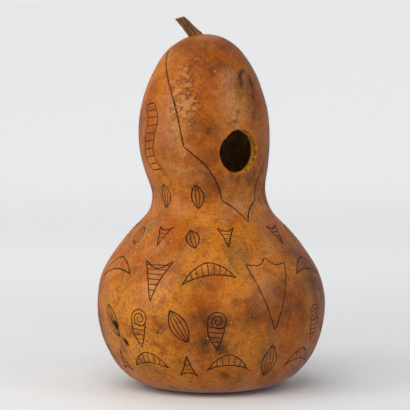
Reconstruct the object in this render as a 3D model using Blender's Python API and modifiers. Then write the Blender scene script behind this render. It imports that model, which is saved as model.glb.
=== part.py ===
"""A dried bottle gourd, hollow, with one round hole cut in its upper bulb.

Two solids, in metres, +Z up, with the origin at the middle of the foot:
  gourd_shell  the rind, which grew as one piece, with its flat foot and its hole
  stem         the dry stub of the stalk, leaning off the crown

The hole faces -Y. The upper bulb leans a little off the axis of the belly.
"""

import math

import bmesh
import bpy
import numpy as np
from mathutils import Vector

MM = 0.001

# Rind, in millimetres. The outline gives (radius, height) up the outside, from the foot's edge to the crown.
OUTLINE = (
    (28.0, 0.0),
    (54.0, 4.4),
    (64.0, 11.2),
    (75.3, 27.8),
    (82.4, 58.5),
    (78.8, 79.5),
    (68.4, 98.6),
    (54.2, 116.2),
    (44.2, 127.6),
    (41.1, 140.2),
    (44.2, 154.7),
    (47.4, 178.0),
    (45.5, 201.0),
    (37.6, 226.5),
    (26.8, 243.2),
    (14.4, 252.0),
    (0.0, 254.8),
)
WALL = 6.5
OVAL = 0.012  # how much longer and shorter than round the two axes of each section are
OVAL_TURN = math.radians(11.0)
RINGS = 42
SEGMENTS = 48

# The bulb's axis swings from the belly's to its own between these two heights.
LEAN = Vector((-4.7, 3.1)) * MM
LEAN_FROM = 110.0
LEAN_TO = 186.0

# Hole in the bulb, cut straight in along Y.
HOLE_RADIUS = 16.0
HOLE_HEIGHT = 171.7
HOLE_SEGMENTS = 40
HOLE_REACH = 90.0  # from the bulb's axis to past its front

# Stem: (right, back, up) from the crown's middle, and radius. The first two points are inside the rind.
STEM_LINE = (
    ((-3.3, 1.3, -7.0), 4.9),
    ((-5.5, 2.2, -2.2), 4.5),
    ((-7.9, 3.2, 1.6), 3.9),
    ((-12.0, 4.8, 7.0), 3.45),
    ((-16.5, 6.6, 12.2), 3.1),
    ((-21.1, 8.4, 17.2), 3.0),
)
STEM_CUT = Vector((-16.3, 6.5, 11.9))  # the middle of the cut end
STEM_CUT_TILT = math.radians(17.0)
STEM_GAP = 0.3  # clearance between the stem's foot and the rind

SHARP_ANGLE = math.radians(40.0)
RIND_COLOUR = (0.42, 0.17, 0.045, 1.0)
STEM_COLOUR = (0.16, 0.085, 0.035, 1.0)


def collection(name):
    """Return a new collection of this name, linked to the scene."""
    made = bpy.data.collections.new(name)
    bpy.context.scene.collection.children.link(made)
    return made


def material(name, colour, roughness, coat=0.0):
    """Return a Principled material with one colour and one roughness."""
    made = bpy.data.materials.new(name)
    made.use_nodes = True
    shader = made.node_tree.nodes["Principled BSDF"]
    shader.inputs["Base Color"].default_value = colour
    shader.inputs["Roughness"].default_value = roughness
    shader.inputs["Metallic"].default_value = 0.0
    shader.inputs["Coat Weight"].default_value = coat
    made.diffuse_color = colour
    return made


def spline_slopes(knots, values, first, last):
    """Return the slopes at the knots of the cubic spline whose end slopes are first and last."""
    count = len(knots)
    gaps = np.diff(knots)
    system = np.zeros((count, count))
    wanted = np.zeros(count)
    system[0, 0] = system[-1, -1] = 1.0
    wanted[0] = first
    wanted[-1] = last
    for i in range(1, count - 1):
        before, after = gaps[i - 1], gaps[i]
        system[i, i - 1 : i + 2] = 1.0 / before, 2.0 / before + 2.0 / after, 1.0 / after
        rise = (values[i] - values[i - 1]) / before**2 + (values[i + 1] - values[i]) / after**2
        wanted[i] = 3.0 * rise
    return np.linalg.solve(system, wanted)


def smooth_outline(points, steps):
    """Return steps + 1 points spaced evenly along the smooth curve that leaves and ends level."""
    points = np.array(points)
    knots = np.concatenate([[0.0], np.cumsum(np.linalg.norm(np.diff(points, axis=0), axis=1))])
    slopes = np.column_stack(
        [
            spline_slopes(knots, points[:, 0], 1.0, -1.0),
            spline_slopes(knots, points[:, 1], 0.0, 0.0),
        ]
    )
    fine = np.linspace(0.0, knots[-1], 40 * steps + 1)
    i = np.clip(np.searchsorted(knots, fine, side="right") - 1, 0, len(knots) - 2)
    gap = (knots[i + 1] - knots[i])[:, None]
    t = (fine - knots[i])[:, None] / gap
    curve = (
        (2 * t**3 - 3 * t**2 + 1) * points[i]
        + (t**3 - 2 * t**2 + t) * gap * slopes[i]
        + (3 * t**2 - 2 * t**3) * points[i + 1]
        + (t**3 - t**2) * gap * slopes[i + 1]
    )
    run = np.concatenate([[0.0], np.cumsum(np.linalg.norm(np.diff(curve, axis=0), axis=1))])
    even = np.linspace(0.0, run[-1], steps + 1)
    return np.column_stack([np.interp(even, run, curve[:, 0]), np.interp(even, run, curve[:, 1])])


def eased(height, low, high):
    """Return how far this height, in metres, is between two in millimetres, from 0 to 1 with soft ends."""
    t = (height / MM - low) / (high - low)
    t = min(max(t, 0.0), 1.0)
    return t * t * (3.0 - 2.0 * t)


def lean_at(height):
    """Return how far the section at this height, in metres, is moved off the belly's axis."""
    return LEAN * eased(height, LEAN_FROM, LEAN_TO)


def rind_skin(name, holder):
    """Return the closed outer skin: the outline turned, made oval and leaned."""
    outline = smooth_outline(OUTLINE, RINGS)[::-1] * MM
    profile = bpy.data.meshes.new(name)
    corners = [(radius, 0.0, height) for radius, height in outline] + [(0.0, 0.0, 0.0)]
    profile.from_pydata(corners, [(i, i + 1) for i in range(len(corners) - 1)], [])
    turned = bpy.data.objects.new(name, profile)
    holder.objects.link(turned)

    screw = turned.modifiers.new("turn", "SCREW")
    screw.axis = "Z"
    screw.angle = math.tau
    screw.steps = screw.render_steps = SEGMENTS
    screw.use_merge_vertices = True
    screw.merge_threshold = 1e-5
    weld = turned.modifiers.new("close_poles", "WELD")
    weld.merge_threshold = 1e-5

    graph = bpy.context.evaluated_depsgraph_get()
    skin = bpy.data.meshes.new_from_object(turned.evaluated_get(graph))
    bpy.data.objects.remove(turned)
    bpy.data.meshes.remove(profile)

    for vertex in skin.vertices:
        x, y, z = vertex.co
        turn = math.atan2(y, x) - OVAL_TURN
        flat = Vector((x, y)) * (1.0 + OVAL * math.cos(2.0 * turn))
        shift = lean_at(z)
        vertex.co = (flat.x + shift.x, flat.y + shift.y, z)
    skin.name = name
    skin.update()
    made = bpy.data.objects.new(name, skin)
    holder.objects.link(made)
    return made


def helper(obj):
    """Mark an object as a cutter, which is neither rendered nor built."""
    obj.hide_render = True
    obj.display_type = "WIRE"
    return obj


def hole_cutter(cutters):
    """Return the cylinder that cuts the hole, from inside the bulb out past its front."""
    reach = HOLE_REACH * MM
    middle = lean_at(HOLE_HEIGHT * MM)
    mesh = bpy.data.meshes.new("hole_cutter")
    shape = bmesh.new()
    bmesh.ops.create_cone(
        shape,
        cap_ends=True,
        segments=HOLE_SEGMENTS,
        radius1=HOLE_RADIUS * MM,
        radius2=HOLE_RADIUS * MM,
        depth=reach,
    )
    shape.to_mesh(mesh)
    shape.free()
    cutter = bpy.data.objects.new("hole_cutter", mesh)
    cutter.rotation_euler = (math.radians(90.0), 0.0, 0.0)
    cutter.location = (middle.x, middle.y - reach / 2, HOLE_HEIGHT * MM)
    cutters.objects.link(cutter)
    return helper(cutter)


def cut(obj, cutter, name):
    """Cut one object with another."""
    boolean = obj.modifiers.new(name, "BOOLEAN")
    boolean.operation = "DIFFERENCE"
    boolean.solver = "EXACT"
    boolean.object = cutter


def make_shell(parts, cutters):
    """Make the rind: the skin thickened inwards, then cut by the hole."""
    shell = rind_skin("gourd_shell", parts)
    wall = shell.modifiers.new("wall", "SOLIDIFY")
    wall.thickness = WALL * MM
    wall.offset = -1.0
    wall.use_even_offset = True
    cut(shell, hole_cutter(cutters), "hole")
    shell.data.materials.append(material("dried_rind", RIND_COLOUR, 0.42, coat=0.15))
    shell.data.shade_smooth()
    shell.data.set_sharp_from_angle(angle=SHARP_ANGLE)
    return shell


def stem_curve(crown, holder):
    """Return the stem as a tapered curve with closed ends."""
    data = bpy.data.curves.new("stem_line", "CURVE")
    data.dimensions = "3D"
    data.bevel_depth = MM
    data.bevel_resolution = 4
    data.resolution_u = 4
    data.use_fill_caps = True
    spline = data.splines.new("BEZIER")
    spline.bezier_points.add(len(STEM_LINE) - 1)
    for point, (place, radius) in zip(spline.bezier_points, STEM_LINE):
        point.co = crown + Vector(place) * MM
        point.radius = radius
        point.handle_left_type = point.handle_right_type = "AUTO"
    made = bpy.data.objects.new("stem_line", data)
    holder.objects.link(made)
    return made


def make_stem(parts, cutters):
    """Make the stem, cut slantwise at its tip and hollowed at its foot to sit on the crown."""
    height = OUTLINE[-1][1] * MM
    shift = lean_at(height)
    crown = Vector((shift.x, shift.y, height))
    line = stem_curve(crown, cutters)
    bpy.context.view_layer.update()
    graph = bpy.context.evaluated_depsgraph_get()
    mesh = bpy.data.meshes.new_from_object(line.evaluated_get(graph))
    mesh.name = "stem"
    placed = line.matrix_world.copy()
    bpy.data.objects.remove(line)

    shape = bmesh.new()
    shape.from_mesh(mesh)
    bmesh.ops.remove_doubles(shape, verts=shape.verts, dist=1e-6)
    everything = shape.verts[:] + shape.edges[:] + shape.faces[:]
    slant = Vector((-math.sin(STEM_CUT_TILT), 0.0, math.cos(STEM_CUT_TILT)))
    tip = crown + STEM_CUT * MM
    opened = bmesh.ops.bisect_plane(shape, geom=everything, plane_co=tip, plane_no=slant, clear_outer=True)
    rim = [item for item in opened["geom_cut"] if isinstance(item, bmesh.types.BMEdge)]
    bmesh.ops.contextual_create(shape, geom=rim)
    bmesh.ops.recalc_face_normals(shape, faces=shape.faces)
    shape.to_mesh(mesh)
    shape.free()

    stem = bpy.data.objects.new("stem", mesh)
    stem.matrix_world = placed
    parts.objects.link(stem)

    seat = helper(rind_skin("stem_seat", cutters))
    for vertex, normal in zip(seat.data.vertices, [v.normal.copy() for v in seat.data.vertices]):
        vertex.co += normal * STEM_GAP * MM
    cut(stem, seat, "seat")
    mesh.materials.append(material("dry_stalk", STEM_COLOUR, 0.75))
    mesh.shade_smooth()
    mesh.set_sharp_from_angle(angle=SHARP_ANGLE)
    return stem


def main():
    for obj in list(bpy.data.objects):
        bpy.data.objects.remove(obj)
    parts = collection("dried_bottle_gourd")
    cutters = collection("cutters")
    make_shell(parts, cutters)
    make_stem(parts, cutters)


main()
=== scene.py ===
"""Looks of a dried bottle gourd: an engraved, waxed rind with one cut hole, and the dry stub of its stalk.

The rind's skin is drawn flat on a chart of the gourd that keeps every angle, so that an engraved figure
has the same shape wherever it is put. The chart is filled with triangles that follow each engraved line,
and is then wrapped round the gourd. Bearings are degrees round the gourd from the hole, which faces -Y,
and grow towards +X. Heights are millimetres above the foot.
"""

import logging
import math
from collections.abc import Iterable, Sequence
from dataclasses import dataclass, field
from enum import Enum

import bmesh
import bpy
import numpy as np
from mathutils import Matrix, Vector, noise
from mathutils.geometry import delaunay_2d_cdt
from mathutils.kdtree import KDTree


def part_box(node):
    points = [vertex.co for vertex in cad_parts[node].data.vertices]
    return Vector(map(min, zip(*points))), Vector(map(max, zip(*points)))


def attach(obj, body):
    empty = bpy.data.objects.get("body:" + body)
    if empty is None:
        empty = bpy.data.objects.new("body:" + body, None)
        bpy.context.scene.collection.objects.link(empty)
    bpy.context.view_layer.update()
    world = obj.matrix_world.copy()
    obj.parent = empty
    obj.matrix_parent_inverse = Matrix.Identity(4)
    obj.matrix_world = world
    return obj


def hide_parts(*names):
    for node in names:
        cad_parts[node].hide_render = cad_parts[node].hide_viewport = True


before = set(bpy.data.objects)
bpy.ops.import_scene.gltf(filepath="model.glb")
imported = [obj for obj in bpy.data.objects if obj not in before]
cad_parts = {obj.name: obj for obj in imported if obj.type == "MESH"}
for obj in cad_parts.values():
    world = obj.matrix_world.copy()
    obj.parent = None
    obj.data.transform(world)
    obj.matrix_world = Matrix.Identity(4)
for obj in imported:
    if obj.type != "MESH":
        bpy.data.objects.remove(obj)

MM = 0.001
PICTURE_WIDTH = 410
CLEAR_OF_FLOOR = 8 * MM  # nothing is scattered lower than this
LOG = logging.getLogger("gourd")

Point = tuple[float, float]
Path = tuple[Point, ...]
Tree = bpy.types.NodeTree
Socket = bpy.types.NodeSocket


# ---------------------------------------------------------------- small helpers


def linear(code: str) -> tuple[float, float, float, float]:
    """Turn an sRGB hex colour into linear RGBA.

    Args:
        code: Six hex digits after a #.

    Returns:
        Red, green, blue and an alpha of 1.
    """
    shares = [int(code[i : i + 2], 16) / 255.0 for i in (1, 3, 5)]
    red, green, blue = (c / 12.92 if c <= 0.04045 else ((c + 0.055) / 1.055) ** 2.4 for c in shares)
    return red, green, blue, 1.0


def add_node(
    tree: Tree, kind: str, values: dict | None = None, links: dict | None = None, **settings: object
) -> bpy.types.Node:
    """Add one node to a tree.

    Args:
        tree: A shader or geometry node tree.
        kind: The node's Blender type.
        values: Values for inputs, by name or number.
        links: Output sockets to plug into inputs, by name or number.
        settings: The node's own properties.

    Returns:
        The new node.
    """
    node = tree.nodes.new(kind)
    for name, value in settings.items():
        setattr(node, name, value)
    for name, value in (values or {}).items():
        node.inputs[name].default_value = value
    for name, source in (links or {}).items():
        tree.links.new(source, node.inputs[name])
    return node


def smoothstep(value: np.ndarray, low: float, high: float) -> np.ndarray:
    """Return 0 below low, 1 above high and a soft step between."""
    t = np.clip((np.asarray(value, float) - low) / (high - low), 0.0, 1.0)
    return t * t * (3.0 - 2.0 * t)


def rough(points: np.ndarray, size: float, seed: float, octaves: int = 3) -> np.ndarray:
    """Return smooth random values of about -1 to 1.

    Args:
        points: Places in millimetres, one a row.
        size: Width of the largest lumps, in millimetres.
        seed: Moves the pattern, so that two fields differ.
        octaves: How many finer layers are added.
    """
    shift = Vector((seed * 17.3, seed * 5.1, seed * 11.7))
    return np.array([noise.fractal(Vector(p) / size + shift, 1.0, 2.0, octaves) for p in points.tolist()])


def smooth_path(points: Sequence[Point], step: float) -> np.ndarray:
    """Return points spaced about a step apart along a smooth curve through the given ones."""
    p = np.array(points, float)
    if len(p) > 2:
        padded = np.vstack([2 * p[0] - p[1], p, 2 * p[-1] - p[-2]])
        t = np.linspace(0.0, 1.0, 24, endpoint=False)[:, None]
        runs = []
        for a, b, c, d in zip(padded, padded[1:], padded[2:], padded[3:]):
            curve = 2 * b + (c - a) * t + (2 * a - 5 * b + 4 * c - d) * t**2 + (3 * b - a - 3 * c + d) * t**3
            runs.append(0.5 * curve)
        p = np.vstack([*runs, p[-1:]])
    run = np.concatenate([[0.0], np.cumsum(np.linalg.norm(np.diff(p, axis=0), axis=1))])
    even = np.linspace(0.0, run[-1], max(3, int(round(run[-1] / step)) + 1))
    return np.column_stack([np.interp(even, run, p[:, i]) for i in range(p.shape[1])])


def along(path: np.ndarray, share: float) -> np.ndarray:
    """Return the point this share of the way along a path of even steps."""
    at = share * (len(path) - 1)
    i = min(int(at), len(path) - 2)
    return path[i] + (path[i + 1] - path[i]) * (at - i)


def link(mesh: bpy.types.Mesh, name: str) -> bpy.types.Object:
    """Return a new object that holds this mesh, in the scene."""
    made = bpy.data.objects.new(name, mesh)
    bpy.context.scene.collection.objects.link(made)
    return made


# ---------------------------------------------------------------- the gourd's form


@dataclass
class GourdForm:
    """The outside of the rind as a rule: an outline turned round, made a little oval, and leaned.

    The chart's two coordinates are the bearing and the climb, both in radians. The climb grows by 1 where
    the surface has been followed upwards by as much as its own radius, which keeps angles true.
    """

    outline: Path = (
        (28.0, 0.0), (54.0, 4.4), (64.0, 11.2), (75.3, 27.8), (82.4, 58.5), (78.8, 79.5), (68.4, 98.6),
        (54.2, 116.2), (44.2, 127.6), (41.1, 140.2), (44.2, 154.7), (47.4, 178.0), (45.5, 201.0),
        (37.6, 226.5), (26.8, 243.2), (14.4, 252.0), (0.0, 254.8),
    )
    wall: float = 6.5
    oval: float = 0.012
    oval_turn: float = math.radians(11.0)
    lean: Point = (-4.7, 3.1)
    lean_heights: Point = (110.0, 186.0)
    scar_radius: float = 9.0
    scar_depth: float = 1.6
    pole: float = 1.3
    samples: int = 1600

    def __post_init__(self) -> None:
        """Work out the outline's fine points and the climb at each."""
        low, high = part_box("gourd_shell")
        self.fit = (high.z - low.z) / MM / self.outline[-1][1]
        side = self.side_curve()
        inward = np.linspace(0.0, side[0, 0], 60, endpoint=False)
        dent = self.scar_depth * (1.0 - smoothstep(inward, 0.0, self.scar_radius))
        line = np.vstack([np.column_stack([inward, dent]), side]) * self.fit
        run = np.concatenate([[0.0], np.cumsum(np.linalg.norm(np.diff(line, axis=0), axis=1))])
        even = np.linspace(0.0, run[-1], self.samples)
        radius = np.interp(even, run, line[:, 0])
        height = np.interp(even, run, line[:, 1])
        self.bottom = float(height[0])
        self.top = float(height[-1])
        keep = radius > self.pole
        self.radius, self.height, self.run = radius[keep], height[keep], even[keep]
        slow = 0.5 * (1.0 / self.radius[1:] + 1.0 / self.radius[:-1])
        self.climb = np.concatenate([[0.0], np.cumsum(np.diff(self.run) * slow)])
        self.foot = int(np.searchsorted(self.run, inward[-1] * self.fit))

    def side_curve(self) -> np.ndarray:
        """Return the outline as the smooth curve that leaves the foot level and meets the crown level."""
        p = np.array(self.outline)
        knots = np.concatenate([[0.0], np.cumsum(np.linalg.norm(np.diff(p, axis=0), axis=1))])
        gaps = np.diff(knots)
        system = np.eye(len(p))
        wanted = np.zeros((len(p), 2))
        wanted[0], wanted[-1] = (1.0, 0.0), (-1.0, 0.0)
        for i in range(1, len(p) - 1):
            system[i, i - 1 : i + 2] = 1 / gaps[i - 1], 2 / gaps[i - 1] + 2 / gaps[i], 1 / gaps[i]
            wanted[i] = 3 * ((p[i] - p[i - 1]) / gaps[i - 1] ** 2 + (p[i + 1] - p[i]) / gaps[i] ** 2)
        slopes = np.linalg.solve(system, wanted)
        fine = np.linspace(0.0, knots[-1], self.samples)
        i = np.clip(np.searchsorted(knots, fine, side="right") - 1, 0, len(gaps) - 1)
        gap = gaps[i][:, None]
        t = (fine - knots[i])[:, None] / gap
        ends = (2 * t**3 - 3 * t**2 + 1) * p[i] + (3 * t**2 - 2 * t**3) * p[i + 1]
        return ends + gap * ((t**3 - 2 * t**2 + t) * slopes[i] + (t**3 - t**2) * slopes[i + 1])

    def climb_at(self, height: float) -> float:
        """Return the climb of a height in millimetres on the gourd's side."""
        return float(np.interp(height, self.height[self.foot :], self.climb[self.foot :]))

    def radius_at(self, climb: np.ndarray) -> np.ndarray:
        """Return the radius in millimetres at a climb, which is also the chart's scale there."""
        return np.interp(climb, self.climb, self.radius)

    def lean_at(self, height: np.ndarray) -> np.ndarray:
        """Return how far the section at a height stands off the belly's axis."""
        return smoothstep(height, *self.lean_heights)[..., None] * np.array(self.lean) * self.fit

    def place(self, chart: np.ndarray) -> np.ndarray:
        """Return the places in millimetres of points on the chart."""
        bearing, climb = chart[:, 0], chart[:, 1]
        radius = self.radius_at(climb)
        height = np.interp(climb, self.climb, self.height)
        turn = bearing - math.pi / 2
        radius = radius * (1.0 + self.oval * np.cos(2.0 * (turn - self.oval_turn)))
        flat = np.column_stack([radius * np.cos(turn), radius * np.sin(turn)])
        return np.column_stack([flat + self.lean_at(height), height])

    def facing(self, chart: np.ndarray) -> np.ndarray:
        """Return the outward direction at points on the chart."""
        step = 1e-3
        across = self.place(chart + [step, 0.0]) - self.place(chart - [step, 0.0])
        up = self.place(chart + [0.0, step]) - self.place(chart - [0.0, step])
        out = np.cross(across, up)
        return out / np.linalg.norm(out, axis=1, keepdims=True)


# ---------------------------------------------------------------- engraved figures


STEP = 1.0  # distance between the points of an engraved line, in millimetres
RIB = 0.74  # width of ribs and grain, as a share of an edge's
SHORTEST_RIB = 1.6  # in millimetres


@dataclass(frozen=True)
class Stroke:
    """One engraved line on the chart: its points, and its half width and depth in millimetres."""

    points: np.ndarray
    half_width: float
    depth: float = 0.36


@dataclass(frozen=True)
class Line:
    """One plain line of a figure, smooth through its points."""

    points: Path

    def draw(self) -> list[tuple[np.ndarray, float]]:
        """Return the line's path in the figure's own millimetres, and its share of the full width."""
        return [(smooth_path(self.points, STEP), 1.0)]


@dataclass(frozen=True)
class Band:
    """Two edges with ribs across them or grain along them. Where they meet, the band has a point."""

    outer: Path
    inner: Path
    ribs: int = 0
    grain: int = 0

    def draw(self) -> list[tuple[np.ndarray, float]]:
        """Return the paths of the band's edges, ribs and grain, each with its share of the full width."""
        outer, inner = smooth_path(self.outer, STEP), smooth_path(self.inner, STEP)
        paths = [(outer, 1.0), (inner, 1.0)]
        for i in range(self.ribs):
            share = (i + 0.9) / (self.ribs + 0.9)
            start, end = along(outer, share), along(inner, share)
            if float(np.linalg.norm(end - start)) < SHORTEST_RIB:
                continue
            middle = (start + end) / 2
            paths.append((smooth_path([tuple(start), tuple(middle), tuple(end)], STEP), RIB))
        for i in range(self.grain):
            share = (i + 1) / (self.grain + 1)
            shares = np.linspace(0.04, 0.96, 24)
            blend = [along(outer, s) * (1 - share) + along(inner, s) * share for s in shares]
            paths.append((smooth_path([tuple(p) for p in blend], STEP), RIB))
        return paths


@dataclass(frozen=True)
class Curl:
    """A line that winds inwards round a middle."""

    middle: Point
    radius: float
    turns: float
    start: float  # degrees
    core: float = 1.3

    def draw(self) -> list[tuple[np.ndarray, float]]:
        """Return the curl's path and its share of the full width."""
        share = np.linspace(0.0, 1.0, max(12, int(abs(self.turns) * 22)))
        turn = math.radians(self.start) + share * self.turns * math.tau
        reach = self.radius + (self.core - self.radius) * share
        spiral = np.column_stack([np.cos(turn), np.sin(turn)]) * reach[:, None] + np.array(self.middle)
        return [(smooth_path([tuple(p) for p in spiral], STEP), 0.85)]


Figure = tuple[Line | Band | Curl, ...]


def arc(length: float, rise: float) -> Path:
    """Return a shallow arc of this length along X that rises this far at its middle."""
    return tuple((share * length, rise * (1 - 4 * share**2)) for share in (-0.5, -0.3, 0.0, 0.3, 0.5))


def moon(length: float, outer: float, inner: float, ribs: int = 0, grain: int = 0) -> Figure:
    """Return two arcs that meet at both tips: a crescent, or a leaf when inner is below zero."""
    return (Band(arc(length, outer), arc(length, inner), ribs=ribs, grain=grain),)


def barb(length: float, width: float, ribs: int) -> Figure:
    """Return a point between two hollow sides, ribbed across, with a hollow base."""
    left, right = (
        ((way * width / 2, length / 2), (way * width * 0.22, length * 0.05), (0.0, -length / 2))
        for way in (-1, 1)
    )
    return Band(left, right, ribs=ribs), Line((left[0], (0.0, length / 2 - width / 4), right[0]))


def coil(radius: float, tail: float, ribs: int) -> Figure:
    """Return a coil with a ribbed tail that narrows away below it."""
    outer = ((radius, 0.0), (radius * 0.9, -tail / 2), (0.0, -tail))
    inner = ((-radius * 0.75, -radius * 0.3), (-radius * 0.5, -tail / 2), (0.0, -tail))
    return Curl((0.0, 0.0), radius, 2.2, 0.0), Band(outer, inner, ribs=ribs)


def shield(width: float, height: float) -> Figure:
    """Return a plain shield with a peaked top and a pointed foot."""
    sides = [Line(((way * width / 2, height * 0.4), (way * width * 0.3, height * 0.05), (0.0, -height / 2)))
             for way in (-1, 1)]
    tops = [Line(((way * width / 2, height * 0.4), (way * width * 0.2, height * 0.38), (0.0, height / 2)))
            for way in (-1, 1)]
    return *sides, *tops


def ribbon(length: float, width: float, sway: float, ribs: int) -> Figure:
    """Return a ribbed ribbon that sways once, with straight ends."""
    edges = [tuple((share * length, side * width / 2 + sway * math.sin(math.tau * share))
                   for share in (-0.5, -0.25, 0.0, 0.25, 0.5)) for side in (1, -1)]
    return Band(*edges, ribs=ribs), Line((edges[0][0], edges[1][0])), Line((edges[0][-1], edges[1][-1]))


@dataclass(frozen=True)
class Placement:
    """Where a figure is engraved: its middle's bearing and height, its turn, and which way round."""

    figure: Figure
    bearing: float
    height: float
    turn: float = 0.0  # degrees, against the clock
    mirrored: bool = False
    half_width: float = 0.5  # of its edges, in millimetres

    def strokes(self, form: GourdForm) -> list[Stroke]:
        """Return the figure's lines on the chart."""
        climb = form.climb_at(self.height)
        radius = float(form.radius_at(climb))
        turn = math.radians(self.turn)
        spin = np.array([[math.cos(turn), math.sin(turn)], [-math.sin(turn), math.cos(turn)]])
        flip = np.array([-1.0 if self.mirrored else 1.0, 1.0])
        middle = np.array([math.radians(self.bearing), climb])
        paths = [drawn for element in self.figure for drawn in element.draw()]
        return [Stroke(middle + (path * flip) @ spin / radius, self.half_width * share)
                for path, share in paths]


@dataclass(frozen=True)
class Course:
    """A long line given by bearings and heights, smooth through its points."""

    points: Path
    half_width: float = 0.6

    def strokes(self, form: GourdForm) -> list[Stroke]:
        """Return the line on the chart."""
        chart = [(math.radians(bearing), form.climb_at(height)) for bearing, height in self.points]
        middle = float(form.radius_at(np.mean([climb for _, climb in chart])))
        return [Stroke(smooth_path(chart, STEP / middle), self.half_width, 0.4)]


FINE_LINE = 0.56  # half width of the small figures' edges, in millimetres

CRESCENT = moon(38.0, 15.0, 5.0, ribs=9)
SMALL_CRESCENT = moon(28.0, 12.0, 4.0, ribs=7)
LEAF = moon(26.0, 6.0, -6.0, grain=3)
SMALL_LEAF = moon(17.0, 4.5, -4.5, grain=2)
COIL = coil(7.0, 21.0, 5)
LARGE_BARB = barb(30.0, 24.0, 7)
SMALL_BARB = barb(17.0, 13.0, 4)

# One half of the engraving, which the other half mirrors: a figure, its bearing, height and turn.
HALF: tuple[tuple[Figure, float, float, float], ...] = (
    (SMALL_BARB, 22, 113, 0), (SMALL_LEAF, 46, 112, 70), (SMALL_BARB, 70, 113, 0),
    (SMALL_LEAF, 94, 112, 70), (SMALL_BARB, 118, 113, 0),
    (SMALL_LEAF, 142, 112, 70), (SMALL_BARB, 166, 113, 0),
    (CRESCENT, 34, 84, -8), (LARGE_BARB, 64, 84, 0), (CRESCENT, 95, 84, -8), (LARGE_BARB, 126, 84, 0),
    (CRESCENT, 157, 84, -8),
    (COIL, 30, 57, 0), (LEAF, 49, 53, 60), (COIL, 70, 57, 0), (LEAF, 90, 53, 60),
    (COIL, 112, 57, 0), (LEAF, 132, 53, 60), (COIL, 154, 57, 0),
    (SMALL_CRESCENT, 24, 22, 0), (SMALL_BARB, 46, 24, 180), (SMALL_CRESCENT, 68, 22, 0),
    (SMALL_BARB, 90, 24, 180),
    (SMALL_CRESCENT, 112, 22, 0), (SMALL_BARB, 134, 24, 180), (SMALL_CRESCENT, 156, 22, 0),
    (SMALL_LEAF, 44, 140, 90), (SMALL_LEAF, 80, 140, 90),
    (SMALL_LEAF, 116, 140, 90), (SMALL_LEAF, 152, 140, 90),
    (ribbon(48.0, 11.0, 4.0, 8), 86, 182, 82), (COIL, 128, 190, 0),
)
# One half of the edge of the plain panel round the hole, from its pointed foot to the crown.
PANEL_EDGE: tuple[Path, ...] = (
    ((0, 122), (4, 127), (10, 132), (20, 137)),
    ((20, 137), (22, 145), (26, 153), (32, 161), (40, 168), (50, 175)),
    ((50, 175), (54, 190), (60, 206), (70, 220), (84, 233), (100, 243)),
)


def arrangement() -> list[Placement | Course]:
    """Return everything engraved, the same on both sides of the hole."""
    made: list[Placement | Course] = [
        Placement(shield(38.0, 54.0), 0, 76),
        Placement(LEAF, 0, 26, turn=90),
    ]
    for side in (-1, 1):
        for edge in PANEL_EDGE:
            made.append(Course(tuple((side * bearing, height) for bearing, height in edge)))
        for figure, bearing, height, turn in HALF:
            made.append(Placement(figure, side * bearing, height, side * turn, side < 0, FINE_LINE))
    return made


# ---------------------------------------------------------------- blemishes and painted sheen


class Mark(Enum):
    """What a blemish is, or the painted sheen. Each name is also the name of the mesh attribute that colours
    it.
    """

    PIT = "pit"
    STAIN = "stain"
    CRUST = "crust"
    GLOW = "glow"
    GOLD = "gold"
    # painted sheen, no blemish: its attribute, dull, pales the rind where reflections in the wax are painted
    PAINTED_SHEEN = "dull"


@dataclass(frozen=True)
class Blemish:
    """A mark that grew or was burnt on the rind, or a band of painted sheen, soft at its edges.

    Attributes:
        mark: What it is.
        points: Bearings and heights of the ends of its middle line, or of its one middle.
        width: Half its width, in millimetres.
        strength: How strong it is, from 0 to 1.
    """

    mark: Mark
    points: Path
    width: float
    strength: float = 1.0

    def weight(self, form: GourdForm, chart: np.ndarray) -> np.ndarray:
        """Return how strongly this mark shows at each point of the chart."""
        line = np.array([(math.radians(bearing), form.climb_at(height)) for bearing, height in self.points])
        radius = float(form.radius_at(line[:, 1].mean()))
        if len(line) > 1:
            line = smooth_path([tuple(p) for p in line], 1.5 / radius)
        away = np.full(len(chart), np.inf)
        for place in line:
            away = np.minimum(away, ((chart - place) ** 2).sum(axis=1))
        return self.strength * np.exp(-away * (radius / self.width) ** 2 * 0.6)


def alike(mark: Mark, *rows: tuple) -> tuple[Blemish, ...]:
    """Return marks of one kind, blemishes or painted sheen, each from its middle line, half width and
    strength.
    """
    return tuple(Blemish(mark, *row) for row in rows)


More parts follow.
